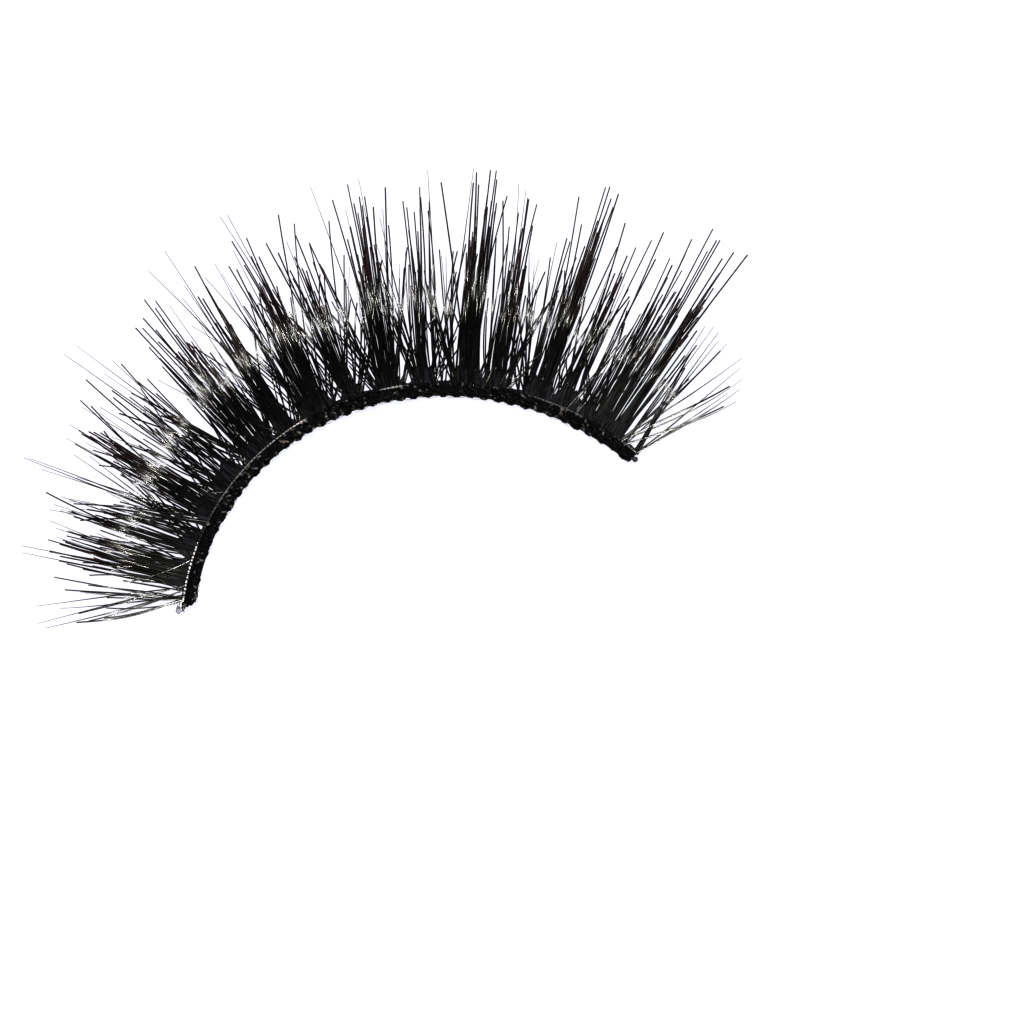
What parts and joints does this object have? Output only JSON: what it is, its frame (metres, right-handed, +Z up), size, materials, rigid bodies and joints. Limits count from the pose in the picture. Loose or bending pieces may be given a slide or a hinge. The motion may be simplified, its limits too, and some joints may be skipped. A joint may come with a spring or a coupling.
{
  "type": "false eyelash strip",
  "caption": "Bent cotton band with tufts of tapered black hair fused along its outer edge, worn glued along the upper lash line.",
  "frame": {"origin": "bottom centre of the strip's bounding box, on the surface that it lies on", "axes": "+X along the band's chord towards the end with the longer hair, +Y from the band towards the hair tips, +Z up off the band's flat underside"},
  "size_m": [0.046, 0.0216, 0.0046],
  "materials": {
    "cotton": "matte knotted black cotton",
    "thread": "clear monofilament",
    "hair": "satin black synthetic hair",
    "clear_glue": "set clear glue",
    "dark_glue": "set dark glue"
  },
  "bodies": {
    "root": {"band": "cotton", "edge_thread": "thread", "lash_fringe": "hair", "end_bead": "clear_glue", "end_knob": "dark_glue"}
  },
  "joints": []
}
